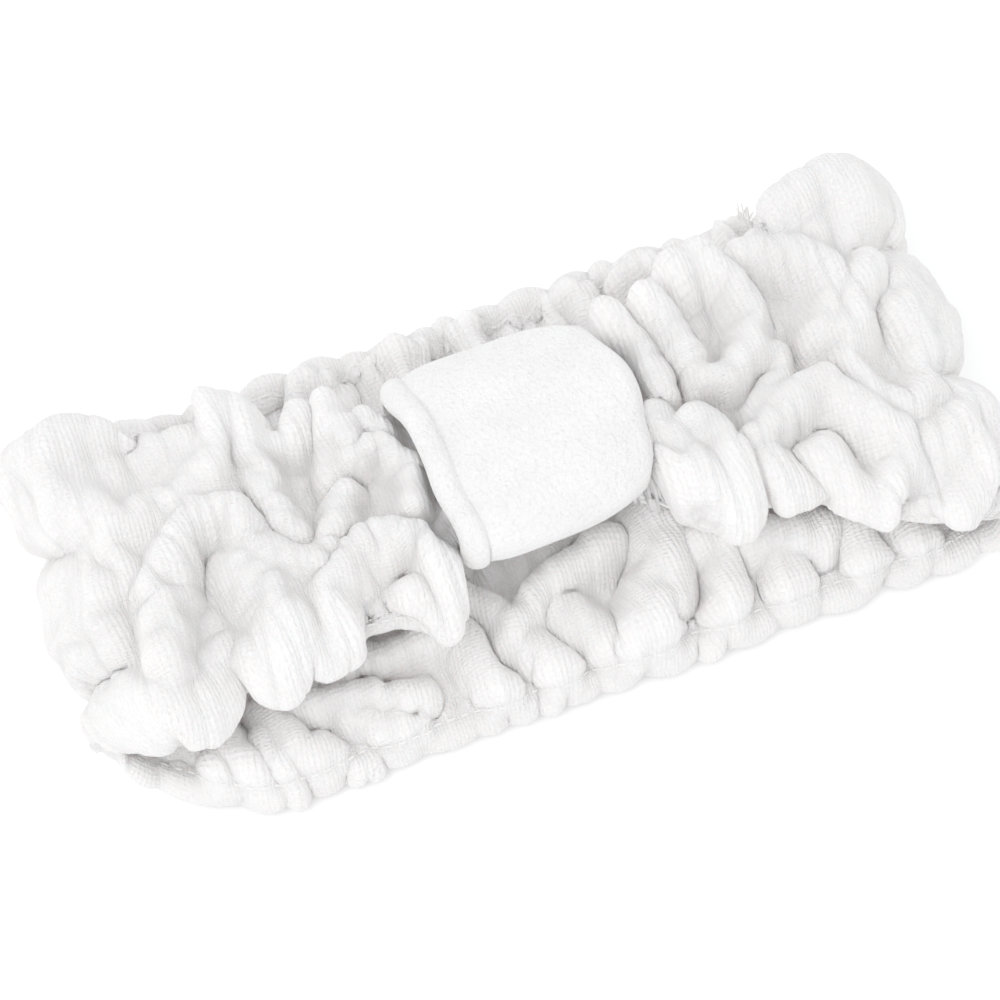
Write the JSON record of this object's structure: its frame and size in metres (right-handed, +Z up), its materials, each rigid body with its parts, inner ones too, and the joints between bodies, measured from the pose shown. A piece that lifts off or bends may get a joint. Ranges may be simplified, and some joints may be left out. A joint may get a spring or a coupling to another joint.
{
  "type": "stretch headband",
  "caption": "Ruched stretch-terry headband loop with elastic in both edges, cinched at the front by a plain square keeper tab, relaxed and lying flat.",
  "frame": {"origin": "middle of the underside, on the surface that the band lies on", "axes": "+X along the flattened loop, +Y across it, from the lower edge to the upper edge, +Z up through the back section, the loop's opening and the front section"},
  "size_m": [0.217, 0.098, 0.0445],
  "materials": {
    "band_terry": "soft white stretch terry with fine knit ribs",
    "keeper_terry": "plain white terry with a short dense pile",
    "elastic_tape": "braided white elastic",
    "sewing_thread": "matte white spun polyester"
  },
  "bodies": {
    "back": {"back_section": "band_terry", "left_end_fold": "band_terry", "right_end_fold": "band_terry", "upper_elastic": "elastic_tape", "upper_elastic_bartack": "sewing_thread", "upper_casing_stitch": "sewing_thread", "lower_elastic": "elastic_tape", "lower_elastic_bartack": "sewing_thread", "lower_casing_stitch": "sewing_thread", "band_join_seam": "band_terry", "band_join_stitch": "sewing_thread", "seam_thread_tail": "sewing_thread"},
    "front": {"front_section": "band_terry", "keeper_tab": "keeper_terry", "keeper_seam": "keeper_terry", "keeper_seam_stitch": "sewing_thread"}
  },
  "joints": [
    {"name": "loop_open", "type": "slide", "parent": "back", "child": "front", "axis": [0, 0, 1], "range_m": [0, 0.075], "stiffness_N_per_m": 100, "deforming": ["left_end_fold", "right_end_fold", "upper_elastic", "lower_elastic", "upper_casing_stitch", "lower_casing_stitch"]}
  ]
}
